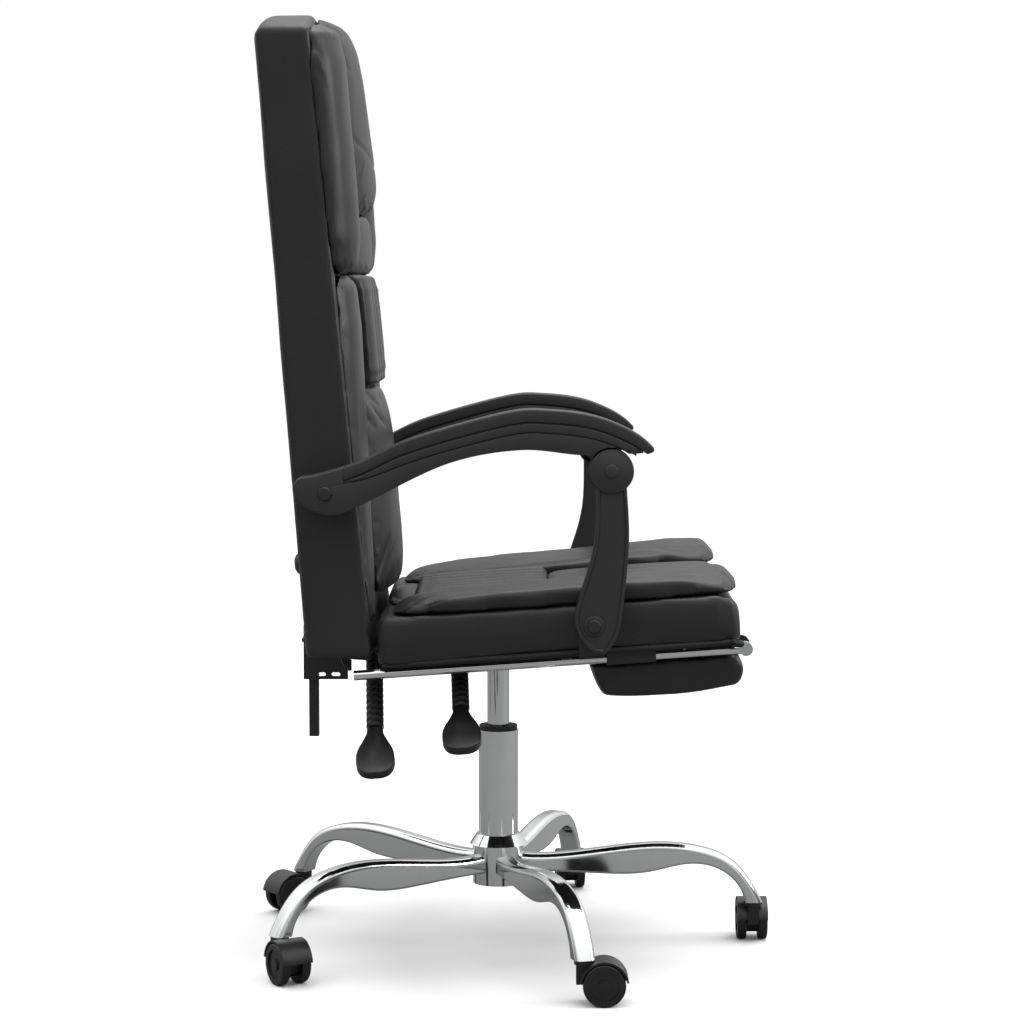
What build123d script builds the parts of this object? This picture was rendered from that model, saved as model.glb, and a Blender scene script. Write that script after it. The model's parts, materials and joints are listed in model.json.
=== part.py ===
from build123d import *
from math import cos, pi, radians, sin, sqrt, tan
import os

# A reclining office chair: castor base, gas lift, tilted seat, reclining back, armrests, flip footrest.
# Millimetres. The origin is on the floor under the column, +Z is up, the chair faces -Y and the sitter's
# right is -X. Side outlines are drawn as (forward, up), with forward along -Y.

# Fits and clearances
running_fit = 0.05         # radial play of a pin, rod or bush in its hole
pass_gap = 0.5             # between rigid pieces that move past each other
soft_gap = 1.0             # between neighbouring upholstered pieces
sheet = 4                  # wall of the pressed steel pieces

# Castors
wheel_radius = 25
wheel_width = 11.5
wheel_rounding = 2
wheel_bore = 8.6           # depth of the axle's hole in a wheel
wheel_dish_outer = 17.5
wheel_dish_inner = 7.5
wheel_dish = 2
web_width = 14             # housing between the two wheels
web_radius = 16.5
castor_trail = 24          # axle behind the stem
castor_axle_radius = 3
hood_gap = 1.2
hood_wall = 2.4
hood_start = 4             # lower edge of the hood above the axle
collar_radius = 11
boss_width = 17
stem_radius = 5
stem_depth = 26            # stem inside its housing
stem_floor = 2
stem_socket = 9            # stem inside its leg
castor_headroom = 3        # leg end above the tops of the wheels
castor_turns = (0, 270, 210, 127, 5)    # where each castor trails at rest, degrees from +X

# Base
leg_count = 5
leg_reach = 323            # stem axis from the column axis
leg_width = 26
leg_tip = 22               # leg end along the leg
leg_crest_rounding = 8
leg_belly_rounding = 3
leg_middle = 60            # between the belly and the crest, above the leg end
hub_radius = 32
hub_lift = 25              # hub underside above the leg ends
hub_height = 50

# Gas lift
tube_radius = 25
tube_wall = 2
tube_floor = 6
tube_lift = 8              # tube floor above the hub underside
tube_length = 187
skirt_radius = 36
skirt_height = 13
skirt_wall = 2.5
bush_depth = 28
bush_flange = 6
bush_flange_radius = 24
cylinder_radius = 14
cylinder_bore = 11
cylinder_floor = 8
cylinder_length = 201
cylinder_sunk = 88         # cylinder below the mouth of the tube at mid travel
rod_radius = 5
rod_head = 10              # height of the piston head on the rod
rod_head_drop = 18         # underside of the piston head below the mouth of the tube
rod_shoulder_radius = 9
rod_shoulder = 4
rod_clip = 2.5
bearing_radius = 11
bearing_height = 5

# Seat
seat_tilt = 4              # degrees, front edge up
lift_stand = 121.7         # seat underside above the mouth of the tube at mid travel
seat_half = 249
seat_draw = 4              # how far the seat's sides are drawn in half way along
seat_side = 56             # height of the seat's side
seat_side_bulge = 3
seat_rear = 140
seat_front = 287
seat_rear_bow = 12         # how far the rear edge is drawn in at its middle
board_margin = 13          # seat cover beyond the board
board_thick = 12
panel_half = 112           # ribbed centre panel
panel_ribs = 6
rib_rear = 98
rib_front = 66
seat_bolster_start = 22    # bolsters before the seat's rear edge
front_pad_inset = 10

# Padding: how many sections shape a pad, how square its swell is, and how full its sewn ends are.
# A form is the height of the pad's edge, its crown at both ends of its run, and how far its ends draw in.
pad_stations = 8
pad_swell = 4
pad_end = 0.2
seat_bolster_form = (8, 20, 36, 36)
rib_form = (4, 11, 11, 0)
rear_pad_form = (4, 9, 9, 0)
front_pad_form = (5, 17, 19, 0)
wing_form = (10, 34, 38, 26)
neck_form = (13, 36, 38, 20)
head_form = (14, 50, 42, 24)
back_bolster_form = (5, 6, 28, 26)
channel_form = (24, 34, 34, 8)
lumbar_form = (12, 36, 36, 30)

# Seat mechanism
tray_half = 75
tray_rear = 110
tray_front = 90
tray_depth = 30
tray_flange = 18
tray_bolt_inset = 30
socket_wall = 5
socket_depth = 36
hinge_arm_inner = 44
hinge_arm_thick = 6
hinge_arm_root = 10        # hinge arm inside the tray
hinge_ear_radius = 9
bolt_radius = 4
bolt_head_radius = 7
bolt_head = 4
bolt_grip = 9              # bolt inside the wood it holds

# Levers
lever_rod_radius = 4
lever_barrel_radius = 6
lever_barrel = 12
lever_pin_radius = 3
lever_ear = 4
lever_ear_reach = 17
lever_ear_above = 7
lever_ear_below = 9
lever_pin_inset = 8
sleeve_radius = 10.5
sleeve_groove = 2
sleeve_pitch = 10
paddle_width = 46
paddle_neck = 22
paddle_shoulder = 30       # where the paddle has its full width
paddle_end = 41            # width of the paddle's end
paddle_length = 75
paddle_thick = 13
paddle_corner = 11
paddle_rounding = 3.7
paddle_socket = 22
height_lever_forward = -48
height_lever_drop = 12     # pivot below the seat underside
height_lever_inset = 133   # bend of the rod inside the seat's side
height_lever_droop = 32
height_sleeve_ribs = 9
recline_lever_forward = -152
recline_lever_drop = 3
recline_lever_inset = 161
recline_lever_droop = 38
recline_sleeve_ribs = 12

# Back, with heights from the seat's reference height
back_step = 4              # back narrower than the seat on each side
back_bottom = 1.3
back_rear = 224            # rear face at the bottom, behind the column axis
back_thick = 78            # at the bottom
back_rear_lean = 4.46
back_front_lean = 5.5
back_side_height = 732
back_crown_rise = 30       # crown above the top of the sides
back_crest = 51            # crest of the crown before its rear edge
back_crest_rear = 17       # rear edge of the crown below its crest
back_crest_front = 11      # front edge of the crown below its crest
back_corner = 10
back_rear_rounding = 9
back_front_rounding = 5
centre_half = 118
wing_margin = 1.5          # shell beyond the headrest wings
bolster_margin = 7
head_start = 449           # headrest above the bottom of the back, along its front
wing_length = 288
neck_length = 70
head_length = 306
back_bolster_start = 24
lumbar_start = 60
lumbar_top = 311
channel_count = 4
bracket_inner = 36
bracket_ahead = 32         # bracket before the recline pivot
bracket_behind = 23
bracket_below = 38
bracket_lip = 14
bracket_bite = 11          # radius of the bite in the bracket's front edge
bracket_bite_height = 24
bracket_bite_out = 3
bracket_slot = 11
bracket_slot_width = 5
bracket_slot_height = 6
bracket_slots = (-1, 17)   # before the recline pivot
flange_half = 68
flange_front = 54          # bracket flange before the recline pivot
bracket_bolt_inset = 9
bracket_bolts_ahead = (-2, 40)
lock_bar_width = 12
lock_bar_thick = 16
lock_bar_length = 110
lock_bar_top = 5           # below the recline pivot
hinge_pin_end = 2

# Pivots of the recline linkage, (forward, above the seat's reference height)
recline_pivot = (-219, -14.7)
arm_pivot = (-198, 196.3)
link_pivot = (131.5, 221.8)
upright_pivot = (112, 42.8)
pivot_radius = 5
pivot_washer = 13
arm_bolt_grip = 29
link_play = 2.0            # radial play of the opened pivot
cap_radius = 8
cap_thick = 3.5
cap_rounding = 2

# Armrests and uprights
arm_gap = 4                # between the back's side and the armrest
arm_width = 40
arm_pad_thick = 13
arm_pad_gap = 0.5
arm_lug = 12.5
arm_lug_radius = 19
arm_lug_rise = 28
upright_thick = 26
upright_boss_radius = 15
disc_radius = 26
disc_room = 2              # recess round the disc
bracket_plate_rear = 96
bracket_plate_front = 126
bracket_plate_reach = 53   # plate of the arm bracket under the seat
bracket_plate_height = 54

# Footrest, along the tilted seat
rail_inset = 24            # rail inside the seat's side
rail_radius = 6
rail_drop = 11
rail_rear = 170
footrest_axle_forward = 292
footrest_axle_radius = 4
knuckle_radius = 8
knuckle_width = 18
rail_stop_radius = 4
rail_stop_forward = 220
rail_stop_height = 8
guide_rear = 128
guide_front = 186
guide_width = 18
guide_height = 19
guide_rounding = 6
rest_inset = 20            # pad inside the rails
rest_board_inset = 10      # board inside the pad
rest_board_thick = 8
rest_board_drop = 12
rest_board_heel = 8
rest_board_toe = 14        # board behind the axle
rest_rear = 110
rest_front = 290
rest_depth = 41            # pad below its board
rest_draw = 5              # how far the pad's ends draw in
rest_toe = 8
rest_toe_drop = 6
rest_heel = 13
rest_heel_drop = 4
rest_lug_inset = 35
rest_lug_width = 8
rest_lug_wall = 5

# Sizes that follow
castor_axle_height = wheel_radius
leg_end_height = 2 * wheel_radius + castor_headroom
hub_bottom = leg_end_height + hub_lift
hub_top = hub_bottom + hub_height
tube_bottom = hub_bottom + tube_lift
tube_top = tube_bottom + tube_length
seat_height = tube_top + lift_stand
tilt = radians(seat_tilt)
seat_frame = Plane(origin=(0, 0, seat_height), x_dir=(-1, 0, 0), z_dir=(0, sin(tilt), cos(tilt)))
hinge_arm_outer = hinge_arm_inner + hinge_arm_thick
back_half = seat_half - back_step
wing_inner = centre_half + 3 * soft_gap
arm_inner = back_half + arm_gap
arm_outer = arm_inner + arm_width
lug_outer = arm_inner + arm_lug
upright_inner = lug_outer + pass_gap
upright_outer = upright_inner + upright_thick
plate_inner = seat_half + 3 * pass_gap
plate_outer = plate_inner + sheet
rail_side = seat_half - rail_inset
rest_half = rail_side - rest_inset
bracket_bolt_side = flange_half - bracket_bolt_inset


def raised(pivot):
    return (pivot[0], seat_height + pivot[1])


recline_at = raised(recline_pivot)
arm_at = raised(arm_pivot)
link_at = raised(link_pivot)
upright_at = raised(upright_pivot)
nodes = {}


def side(offset):
    return Plane(origin=(-offset, 0, 0), x_dir=(0, -1, 0), z_dir=(-1, 0, 0))


def slab(outline, inner, outer):
    return extrude(side(inner) * outline, outer - inner)


def cross_pin(centre, radius, inner, outer):
    return slab(Pos(*centre) * Circle(radius), inner, outer)


def oblong(forward_range, up_range):
    rear, front = forward_range
    low, high = up_range
    return Polygon((rear, low), (front, low), (front, high), (rear, high), align=None)


def upright_rod(radius, bottom, top):
    return Pos(0, 0, bottom) * extrude(Circle(radius), top - bottom)


def upright_ring(outer, inner, bottom, top):
    return Pos(0, 0, bottom) * extrude(Circle(outer) - Circle(inner), top - bottom)


def block(x_range, y_range, z_range):
    size = [high - low for low, high in (x_range, y_range, z_range)]
    corner = Pos(x_range[0], y_range[0], z_range[0])
    return corner * Box(*size, align=(Align.MIN, Align.MIN, Align.MIN))


def bar_along_x(radius, x_range, y, z):
    return Pos(x_range[0], y, z) * Rot(0, 90, 0) * extrude(Circle(radius), x_range[1] - x_range[0])


def bar_along_y(radius, x, y_range, z):
    return Pos(x, y_range[0], z) * Rot(-90, 0, 0) * extrude(Circle(radius), y_range[1] - y_range[0])


def on_seat(shape):
    return seat_frame.location * shape


def both_sides(name, right):
    nodes[name + "_right"] = right
    nodes[name + "_left"] = mirror(right, about=Plane.YZ)


def pair(right):
    return Compound(children=[right, mirror(right, about=Plane.YZ)])


def hex_head(x, y, z):
    return Pos(x, y, z - bolt_head) * extrude(RegularPolygon(bolt_head_radius, 6), bolt_head)


# Castor base


def base_leg():
    heel = leg_reach - leg_tip / 2
    toe = leg_reach + leg_tip / 2
    end = leg_end_height
    crest = Spline((0, end + 69), (leg_reach - 131, end + 75.5), (leg_reach - 68, end + 70.5),
                   (leg_reach - 30, end + 55), (leg_reach - 4, end + 27), (toe, end))
    belly = Spline((heel, end), (leg_reach - 23, end + 26), (leg_reach - 42, end + 41.5),
                   (leg_reach - 80, end + 49.5), (leg_reach - 131, end + 39.5),
                   (leg_reach - 195, end + 37.5), (0, end + 39.5))
    outline = make_face([crest, Line(crest @ 1, belly @ 0), belly, Line(belly @ 1, crest @ 0)])
    leg = slab(outline, -leg_width / 2, leg_width / 2)
    edges = [e for e in leg.edges() if e.length > leg_reach / 2]
    crest_edges = [e for e in edges if (e @ 0.5).Z > end + leg_middle]
    belly_middles = [e @ 0.5 for e in edges if (e @ 0.5).Z <= end + leg_middle]
    leg = fillet(crest_edges, leg_crest_rounding)
    belly_edges = [e for e in leg.edges() if any((e @ 0.5 - m).length < 1 for m in belly_middles)]
    leg = fillet(belly_edges, leg_belly_rounding)
    leg -= upright_rod(hub_radius + running_fit, 0, tube_top)
    socket = upright_rod(stem_radius + running_fit, 0, end + stem_socket + pass_gap)
    return leg - Pos(0, -leg_reach, 0) * socket


def castor_housing():
    axle = Pos(castor_trail, castor_axle_height)
    hood_radius = wheel_radius + hood_gap + hood_wall
    half = web_width / 2 + pass_gap + wheel_width
    top = leg_end_height - pass_gap
    stem_bottom = top - stem_depth - stem_floor
    above = Pos(castor_trail, castor_axle_height + hood_start + hood_radius)
    above = above * Rectangle(4 * hood_radius, 2 * hood_radius)
    hood = axle * (Circle(hood_radius) - Circle(hood_radius - hood_wall)) & above
    hood = extrude(Plane.XZ * hood, half, both=True)
    boss = Pos(0, (stem_bottom + top) / 2) * Rectangle(boss_width, top - stem_bottom)
    web = (axle * Circle(hood_radius) & above) + axle * Circle(web_radius) + boss
    web = extrude(Plane.XZ * web, web_width / 2, both=True)
    reach = castor_trail - collar_radius
    collar_bottom = castor_axle_height + sqrt(wheel_radius ** 2 - reach ** 2) + hood_gap
    housing = hood + web + upright_rod(collar_radius, collar_bottom, top)
    housing -= upright_rod(stem_radius + running_fit, stem_bottom + stem_floor, leg_end_height)
    axle_hole = Cylinder(castor_axle_radius + running_fit, 4 * web_width)
    return housing - Pos(castor_trail, 0, castor_axle_height) * Rot(90, 0, 0) * axle_hole


def castor_wheels():
    inner = web_width / 2 + pass_gap
    wheel = extrude(Circle(wheel_radius), wheel_width)
    wheel = fillet(wheel.edges(), wheel_rounding)
    dish = extrude(Circle(wheel_dish_outer) - Circle(wheel_dish_inner), wheel_dish)
    wheel -= Pos(0, 0, wheel_width - wheel_dish) * dish
    wheel -= extrude(Circle(castor_axle_radius + running_fit), wheel_bore)
    near = Rot(90, 0, 0) * (Pos(0, 0, inner) * wheel)
    far = Rot(-90, 0, 0) * (Pos(0, 0, inner) * wheel)
    axle = Rot(90, 0, 0) * Cylinder(castor_axle_radius, 2 * (inner + wheel_bore) - pass_gap)
    seat = Pos(castor_trail, 0, castor_axle_height)
    return Compound(children=[seat * near, seat * far, seat * axle])


def castor_stem():
    return upright_rod(stem_radius, leg_end_height - pass_gap - stem_depth, leg_end_height + stem_socket)


leg = base_leg()
housing = castor_housing()
wheels = castor_wheels()
stems = []
for number in range(leg_count):
    around = Rot(0, 0, -360 / leg_count * number)
    leg_end = around * Pos(0, -leg_reach, 0)
    trail = Location(leg_end.position) * Rot(0, 0, castor_turns[number % len(castor_turns)])
    nodes[f"base_leg_{number + 1}"] = around * leg
    nodes[f"castor_housing_{number + 1}"] = trail * housing
    nodes[f"castor_wheels_{number + 1}"] = trail * wheels
    stems.append(leg_end * castor_stem())
nodes["castor_stems"] = Compound(children=stems)
nodes["base_hub"] = upright_ring(hub_radius, tube_radius + running_fit, hub_bottom, hub_top)

# Gas lift
floor_top = tube_bottom + tube_floor
tube = upright_rod(tube_radius, tube_bottom, tube_top)
tube -= upright_rod(tube_radius - tube_wall, floor_top, tube_top)
tube -= upright_rod(rod_radius + running_fit, tube_bottom, floor_top)
nodes["column_tube"] = tube

skirt_inner = tube_radius + running_fit
skirt_top = hub_top + skirt_height
skirt_outline = Polyline((skirt_inner, skirt_top), (skirt_inner + skirt_wall, skirt_top),
                         (skirt_radius, hub_top), (skirt_inner, hub_top), close=True)
nodes["column_skirt"] = revolve(Plane.XZ * make_face(skirt_outline), Axis.Z)

bush = upright_rod(tube_radius - tube_wall - running_fit, tube_top - bush_depth, tube_top)
bush += upright_rod(bush_flange_radius, tube_top, tube_top + bush_flange)
bush -= upright_rod(cylinder_radius + running_fit, tube_top - bush_depth, tube_top + bush_flange)
nodes["column_bush"] = bush

bearing_top = floor_top + bearing_height
nodes["thrust_bearing"] = upright_ring(bearing_radius, rod_radius + running_fit, floor_top, bearing_top)

head_bottom = tube_top - rod_head_drop
clip_top = tube_bottom - running_fit
shoulder_bottom = bearing_top + running_fit
rod = upright_rod(rod_radius, clip_top - 2 * rod_clip, head_bottom)
rod += upright_rod(rod_shoulder_radius, shoulder_bottom, shoulder_bottom + rod_shoulder)
rod += upright_rod(cylinder_bore - running_fit, head_bottom, head_bottom + rod_head)
clip = upright_ring(rod_shoulder_radius, rod_radius, clip_top - rod_clip, clip_top)
nodes["piston_rod"] = Compound(children=[rod - clip, clip])

cylinder_bottom = tube_top - cylinder_sunk
cylinder_top = cylinder_bottom + cylinder_length
cylinder = upright_rod(cylinder_radius, cylinder_bottom, cylinder_top)
cylinder -= upright_rod(cylinder_bore, cylinder_bottom + cylinder_floor, cylinder_top - 2 * cylinder_floor)
cylinder -= upright_rod(rod_radius + running_fit, cylinder_bottom, cylinder_bottom + cylinder_floor)
nodes["gas_cylinder"] = cylinder


# Seat mechanism


def lever_ears(forward, drop, wall):
    far = wall + lever_ear_reach
    ears = []
    for sign in (-1, 1):
        start = forward + sign * (lever_barrel / 2 + pass_gap)
        y_range = sorted((start, start + sign * lever_ear))
        ears.append(block((wall - sheet, far), y_range, (-drop - lever_ear_below, -drop + lever_ear_above)))
    reach = lever_barrel + lever_ear
    hole = bar_along_y(lever_pin_radius + running_fit, far - lever_pin_inset,
                       (forward - reach, forward + reach), -drop)
    return ears[0] + ears[1] - hole


def below_seat(forward, drop):
    return (forward, seat_height + forward * tan(tilt) - drop)


def hinge_arm():
    root = hinge_arm_root - tray_rear
    rise = recline_at[1]
    outline = Polygon(below_seat(root, sheet), below_seat(recline_lever_forward, sheet / 2),
                      (recline_at[0], rise + hinge_ear_radius), (recline_at[0], rise - hinge_ear_radius),
                      below_seat(root, tray_depth - sheet), align=None)
    outline += Pos(*recline_at) * Circle(hinge_ear_radius)
    outline -= Pos(*recline_at) * Circle(pivot_radius + running_fit)
    return slab(outline, hinge_arm_inner, hinge_arm_outer)


def seat_mechanism():
    tray = block((-tray_half, tray_half), (-tray_rear, tray_front), (-tray_depth, 0))
    tray -= block((sheet - tray_half, tray_half - sheet), (sheet - tray_rear, tray_front - sheet),
                  (-tray_depth, -sheet))
    flange = tray_half + tray_flange
    tray += block((-flange, flange), (-tray_rear, tray_front), (-sheet, 0))
    tray += lever_ears(height_lever_forward, height_lever_drop, tray_half)
    tray += lever_ears(recline_lever_forward, recline_lever_drop, hinge_arm_outer)
    tray -= tray_bolts(bolt_radius + running_fit)
    right_arm = hinge_arm()
    body = on_seat(tray) + right_arm + mirror(right_arm, about=Plane.YZ)
    socket_bottom = cylinder_top - socket_depth
    body += upright_rod(cylinder_radius + socket_wall, socket_bottom, cylinder_top + sheet)
    return body - upright_rod(cylinder_radius + running_fit, socket_bottom, cylinder_top)


def tray_bolts(radius):
    bolt_side = tray_half + tray_flange / 2
    places = [(x, y) for x in (-bolt_side, bolt_side)
              for y in (tray_bolt_inset - tray_rear, tray_front - tray_bolt_inset)]
    bolts = [Pos(x, y, -sheet) * extrude(Circle(radius), sheet + bolt_grip) for x, y in places]
    return Compound(children=bolts)


def seat_bolts():
    bolts = []
    for shank in tray_bolts(bolt_radius).children:
        centre = shank.center()
        bolts.append(on_seat(shank + hex_head(centre.X, centre.Y, -sheet)))
    return Compound(children=bolts)


nodes["seat_mechanism"] = seat_mechanism()
nodes["seat_bolts"] = seat_bolts()


# Levers, drawn in the seat's frame


def lever_sleeve(ribs):
    sections = []
    for number in range(ribs):
        steps = ((0, sleeve_groove), (0.3, 0), (0.7, 0), (1, sleeve_groove))
        for share, cut in steps[0 if number == 0 else 1:]:
            ring = Plane.YZ * Circle(sleeve_radius - cut)
            sections.append(Pos((number + share) * sleeve_pitch, 0, 0) * ring)
    bore = extrude(Circle(lever_rod_radius + running_fit), ribs * sleeve_pitch)
    return loft(sections, ruled=True) - Rot(0, 90, 0) * bore


def lever_paddle():
    half = paddle_width / 2
    outline = Polygon((0, -paddle_neck / 2), (paddle_shoulder, -half), (paddle_length, -paddle_end / 2),
                      (paddle_length, paddle_end / 2), (paddle_shoulder, half), (0, paddle_neck / 2),
                      align=None)
    outline = fillet(outline.vertices().filter_by(lambda v: v.X > 1), paddle_corner)
    face_height = paddle_thick / 2
    paddle = extrude(outline, face_height, both=True)
    middles = [(e, e @ 0.5) for e in paddle.edges()]
    rims = [e for e, m in middles if abs(abs(m.Z) - face_height) < 0.01 and m.X > 1]
    paddle = fillet(rims, paddle_rounding)
    bore = extrude(Circle(lever_rod_radius + running_fit), paddle_socket + pass_gap)
    return paddle - Rot(0, 90, 0) * bore


def add_lever(name, forward, drop, wall, inset, droop, ribs):
    pivot = wall + lever_ear_reach - lever_pin_inset
    elbow = seat_half - inset
    bend = Pos(elbow, forward, -drop) * Rot(0, droop, 0)
    sleeve_start = lever_rod_radius * 2
    sleeve_end = sleeve_start + ribs * sleeve_pitch
    lever_rod = bar_along_x(lever_rod_radius, (pivot, elbow), forward, -drop)
    lever_rod += bend * Sphere(lever_rod_radius)
    lever_rod += bend * Rot(0, 90, 0) * extrude(Circle(lever_rod_radius), sleeve_end + paddle_socket)
    half = lever_barrel / 2
    lever_rod += bar_along_y(lever_barrel_radius, pivot, (forward - half, forward + half), -drop)
    reach = half + pass_gap + lever_ear
    lever_rod += bar_along_y(lever_pin_radius, pivot, (forward - reach, forward + reach), -drop)
    nodes[name + "_rod"] = on_seat(lever_rod)
    nodes[name + "_sleeve"] = on_seat(bend * Pos(sleeve_start, 0, 0) * lever_sleeve(ribs))
    nodes[name + "_paddle"] = on_seat(bend * Pos(sleeve_end, 0, 0) * lever_paddle())


add_lever("height_lever", height_lever_forward, height_lever_drop, tray_half,
          height_lever_inset, height_lever_droop, height_sleeve_ribs)
add_lever("recline_lever", recline_lever_forward, recline_lever_drop, hinge_arm_outer,
          recline_lever_inset, recline_lever_droop, recline_sleeve_ribs)


# Upholstery: sections across each pad, with a crown of one or more sewn channels


def fullness(share):
    return max(pad_end, (1 - abs(2 * share - 1) ** pad_swell) ** (1 / pad_swell))


def pad_shares():
    return [(1 - cos(pi * number / pad_stations)) / 2 for number in range(pad_stations + 1)]


def pad_section(station, left, right, edge, crown, channels):
    pitch = (right - left) / channels
    outline = [Line((left, 0), (left, edge))]
    for number in range(channels):
        start = left + number * pitch
        outline.append(ThreePointArc((start, edge), (start + pitch / 2, crown), (start + pitch, edge)))
    outline += [Line((right, edge), (right, 0)), Line((right, 0), (left, 0))]
    return Pos(0, station, 0) * (Plane.XZ * make_face(outline))


def pad(run, width, form, channels=1):
    edge, first_crown, last_crown, draw = form
    sections = []
    for share in pad_shares():
        full = fullness(share)
        crown = (first_crown + (last_crown - first_crown) * share) * full
        inset = draw * (1 - full)
        station = run[0] + (run[1] - run[0]) * share
        left, right = width[0] + inset, width[1] - inset
        sections.append(pad_section(station, left, right, edge * full, crown, channels))
    return loft(sections, ruled=True)


def box_section(station, half, height):
    base = half - seat_side_bulge
    outline = [Line((-base, 0), (base, 0)), ThreePointArc((base, 0), (half, height / 2), (base, height)),
               Line((base, height), (-base, height)),
               ThreePointArc((-base, height), (-half, height / 2), (-base, 0))]
    return Pos(0, station, 0) * (Plane.XZ * make_face(outline))


def seat_board():
    reach = seat_half - board_margin
    rear = seat_rear - seat_rear_bow - board_margin / 4
    return block((-reach, reach), (-rear, seat_front - board_margin), (0, board_thick))


def seat_cushion():
    middle = (seat_front - seat_rear) / 2
    stations = ((-seat_rear, seat_half - 9, seat_side - 10), (10 - seat_rear, seat_half - 1, seat_side),
                (middle, seat_half - seat_draw, seat_side), (seat_front - 25, seat_half, seat_side),
                (seat_front - 7, seat_half - 6, seat_side - 6), (seat_front, seat_half - 17, seat_side - 16))
    cushion = loft([box_section(*station) for station in stations], ruled=True)
    bow_radius = (panel_half ** 2 + seat_rear_bow ** 2) / seat_rear_bow / 2
    bow = extrude(Circle(bow_radius), 2 * seat_side)
    cushion -= Pos(0, seat_rear_bow - seat_rear - bow_radius, 0) * bow
    return cushion - seat_board()


nodes["seat_board"] = on_seat(seat_board() - tray_bolts(bolt_radius + running_fit))
nodes["seat_cushion"] = on_seat(seat_cushion())

on_top = Pos(0, 0, seat_side)
bolster_run = (seat_bolster_start - seat_rear, seat_front)
bolster_width = (panel_half + soft_gap, seat_half - seat_draw)
both_sides("seat_bolster", on_seat(on_top * pad(bolster_run, bolster_width, seat_bolster_form)))

panel_width = (-panel_half, panel_half)
panel_start = seat_rear_bow + soft_gap - seat_rear
panel_end = seat_front - front_pad_inset
centre_pads = [pad((panel_start, -rib_rear - soft_gap), panel_width, rear_pad_form),
               pad((-rib_rear, rib_front), panel_width, rib_form, panel_ribs),
               pad((rib_front + soft_gap, panel_end), panel_width, front_pad_form)]
nodes["seat_centre_panel"] = Compound(children=[on_seat(on_top * piece) for piece in centre_pads])


# Back, with its own front face as the base of the front cushions
bottom = seat_height + back_bottom
front_lean = radians(back_front_lean)
back_frame = Plane(origin=(0, back_rear - back_thick, bottom), x_dir=(1, 0, 0),
                   z_dir=(0, -cos(front_lean), sin(front_lean)))


def on_back(shape):
    return back_frame.location * shape


def rims(shell, facing):
    faces = [f for f in shell.faces().filter_by(GeomType.PLANE) if facing * f.normal_at().Y > 0.9]
    return [e for e in faces[0].edges() if (e @ 0.5).Z > bottom + 1]


def back_shell():
    top = back_side_height + back_crown_rise
    rear_top = top - back_crest_rear
    front_top = top - back_crest_front
    rear_foot = (-back_rear, bottom)
    front_foot = (back_thick - back_rear, bottom)
    rear_head = (rear_foot[0] - rear_top * tan(radians(back_rear_lean)), bottom + rear_top)
    front_head = (front_foot[0] - front_top * tan(front_lean), bottom + front_top)
    crown = ThreePointArc(rear_head, (rear_head[0] + back_crest, bottom + top), front_head)
    profile = make_face([Line(rear_foot, front_foot), Line(front_foot, front_head), crown,
                         Line(rear_head, rear_foot)])
    shell = slab(profile, -back_half, back_half)
    shoulder = bottom + back_side_height
    outline = make_face([Line((-back_half, bottom), (back_half, bottom)),
                         Line((back_half, bottom), (back_half, shoulder)),
                         ThreePointArc((back_half, shoulder), (0, bottom + top), (-back_half, shoulder)),
                         Line((-back_half, shoulder), (-back_half, bottom))])
    outline = fillet(outline.vertices().filter_by(lambda v: v.Y > bottom + 1), back_corner)
    shell &= extrude(Plane.XZ * outline, 2 * back_rear, both=True)
    shell = fillet(rims(shell, 1), back_rear_rounding)
    shell = fillet(rims(shell, -1), back_front_rounding)
    bolt_hole = cross_pin(arm_at, pivot_radius + running_fit, back_half - arm_bolt_grip - 1, back_half + 1)
    shell = shell - bolt_hole - mirror(bolt_hole, about=Plane.YZ)
    for bolt in bracket_bolts(bolt_radius + running_fit):
        shell -= bolt
    return shell


def bracket_bolts(radius):
    shank = extrude(Circle(radius), sheet + bolt_grip)
    places = [(x, ahead) for x in (-bracket_bolt_side, bracket_bolt_side) for ahead in bracket_bolts_ahead]
    return [Pos(x, -recline_at[0] - ahead, bottom - sheet) * shank for x, ahead in places]


nodes["back_shell"] = back_shell()
centre_width = (-centre_half, centre_half)
wing_width = (wing_margin - back_half, -wing_inner)
both_sides("headrest_wing", on_back(pad((head_start, head_start + wing_length), wing_width, wing_form)))
neck_end = head_start + neck_length
neck_roll = pad((head_start, neck_end), centre_width, neck_form)
head_pad = pad((neck_end + soft_gap, head_start + head_length), centre_width, head_form)
nodes["headrest_cushion"] = Compound(children=[on_back(neck_roll), on_back(head_pad)])
below_head = head_start - soft_gap
back_bolster_width = (bolster_margin - back_half, -wing_inner)
back_bolster = pad((back_bolster_start, below_head), back_bolster_width, back_bolster_form)
both_sides("back_bolster", on_back(back_bolster))
channels = pad((lumbar_top + soft_gap, below_head), centre_width, channel_form, channel_count)
nodes["back_channel_panel"] = on_back(channels)
nodes["lumbar_panel"] = on_back(pad((lumbar_start, lumbar_top), centre_width, lumbar_form))


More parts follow.
